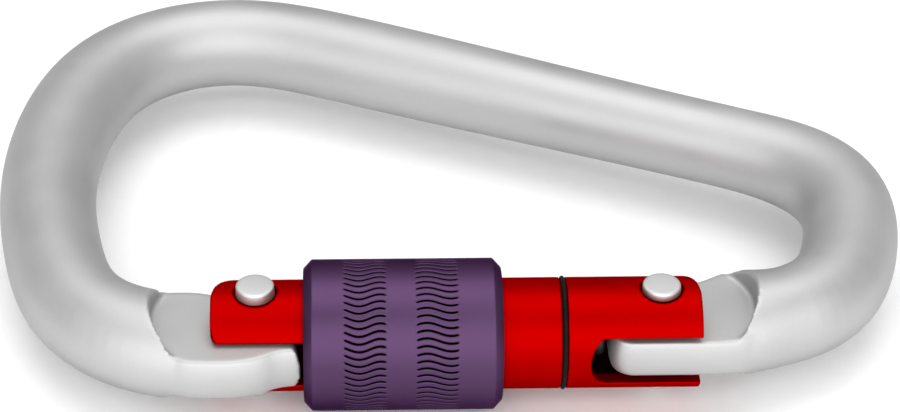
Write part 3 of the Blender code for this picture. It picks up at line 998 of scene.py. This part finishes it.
def make_camera():
    """The drawing's view: from the gate's side, 35 degrees up and a little from the nose's end."""
    azimuth = math.radians(-2.5)
    elevation = math.radians(35.0)
    roll = math.radians(0.93)
    distance = 0.380
    target = HINGE + Vector((-24.3, 26.76, 0.0)) * MM
    flat = math.cos(elevation)
    back = Vector((math.sin(azimuth) * flat, -math.cos(azimuth) * flat, math.sin(elevation)))
    data = bpy.data.cameras.new("camera")
    data.lens = 118.96
    data.sensor_width = 36.0
    data.clip_start = 0.01
    data.clip_end = 50.0
    camera = bpy.data.objects.new("camera", data)
    camera.location = target + back * distance
    look = (-back).to_track_quat("-Z", "Y").to_matrix()
    camera.rotation_euler = (look @ Matrix.Rotation(roll, 3, "Z")).to_euler()
    bpy.context.scene.collection.objects.link(camera)
    bpy.context.scene.camera = camera


def make_stage():
    """A pale floor, a pale even sky and soft lights."""
    size = 3.0
    corners = [(-size, -size, 0), (size, -size, 0), (size, size, 0), (-size, size, 0)]
    floor = add_mesh("floor", corners, [(0, 1, 2, 3)])
    paper = Nodes("paper")
    tone = paper.spread(paper.noise(400.0), 0.3, 0.7, 0.0, 1.0)
    base = paper.mix(tone, (0.92, 0.92, 0.92, 1), (0.94, 0.94, 0.94, 1))
    paper.link(base, paper.shader.inputs["Base Color"])
    paper.shader.inputs["Roughness"].default_value = 0.9
    floor.data.materials.append(paper.material)
    world = bpy.data.worlds.new("sky")
    world.use_nodes = True
    world.node_tree.nodes["Background"].inputs["Color"].default_value = (1, 1, 1, 1)
    world.node_tree.nodes["Background"].inputs["Strength"].default_value = 0.6
    bpy.context.scene.world = world
    centre = (0.0, 0.0, 0.0)
    area_light("front_light", place=(0.0, -0.9, 0.45), target=centre, size=(2.4, 1.2), power=16.5)
    area_light("top_light", place=(0.0, 0.2, 1.1), target=centre, size=(1.0, 1.0), power=7.0)
    bpy.context.scene.view_settings.view_transform = "Standard"


make_camera()
make_stage()

white = (1.0, 1.0, 1.0)
dim = (0.42, 0.42, 0.42)
satin = metal(
    "satin_aluminium",
    colour=(0.5, 0.5, 0.5),
    shade=(0.46, 0.46, 0.46),
    roughness=(0.46, 0.58),
    grain=0.25,
    metallic=0.78,
    edge_tint=dim,
)
red = metal(
    "red_anodised",
    colour=(0.39, 0.0, 0.0),
    shade=(0.34, 0.0, 0.0),
    roughness=(0.48, 0.58),
    grain=0.2,
    metallic=1.0,
    edge_tint=(0.7, 0.05, 0.05),
)
purple = metal(
    "purple_anodised",
    colour=(0.09, 0.047, 0.108),
    shade=(0.078, 0.04, 0.095),
    roughness=(0.42, 0.52),
    grain=0.2,
    metallic=1.0,
    edge_tint=(0.3, 0.25, 0.3),
)
steel = metal(
    "rivet_steel",
    colour=(0.64, 0.64, 0.64),
    shade=(0.58, 0.58, 0.58),
    roughness=(0.46, 0.56),
    grain=0.15,
    metallic=1.0,
    edge_tint=dim,
)
wire = metal(
    "spring_wire",
    colour=(0.55, 0.55, 0.56),
    shade=(0.45, 0.45, 0.46),
    roughness=(0.25, 0.38),
    grain=0.1,
    metallic=1.0,
    edge_tint=white,
)
plastic = moulded(
    "black_plastic",
    colour=(0.02, 0.02, 0.021),
    shade=(0.012, 0.012, 0.013),
    roughness=(0.4, 0.6),
    grain=0.15,
)
rubber = moulded(
    "black_rubber",
    colour=(0.006, 0.006, 0.006),
    shade=(0.003, 0.003, 0.003),
    roughness=(0.7, 0.85),
    grain=0.1,
)
rubber.shader.inputs["Specular IOR Level"].default_value = 0.12
# Painted shade: the bottoms of the knurl grooves are darkened to near black.
paint_groove_shade(purple, groove_shade_colour=(0.002, 0.0015, 0.002))
# Painted shade: the slot ends and the bore of the gate are darkened to near black.
paint_inside_shade(red, radius=6.2, flatness=1.4, left=-47.0, right=-4.5, inside_shade_colour=(0.012, 0.0, 0.0))

finish_piece(make_body(), "body", "frame", satin)
finish_piece(make_gate(), "gate_tube", "gate", red)
finish_piece(make_rivet(HINGE_RIVET), "hinge_pin", "gate", steel)
finish_piece(make_rivet(LATCH_RIVET), "latch_pin", "gate", steel)
finish_piece(make_plunger(), "spring_plunger", "plunger", plastic)
spring = finish_piece(make_spring(), "gate_spring", "gate", wire)
finish_piece(make_sleeve(), "locking_sleeve", "sleeve", purple)
finish_piece(make_ring(), "stop_ring", "ring", rubber)

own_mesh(spring)
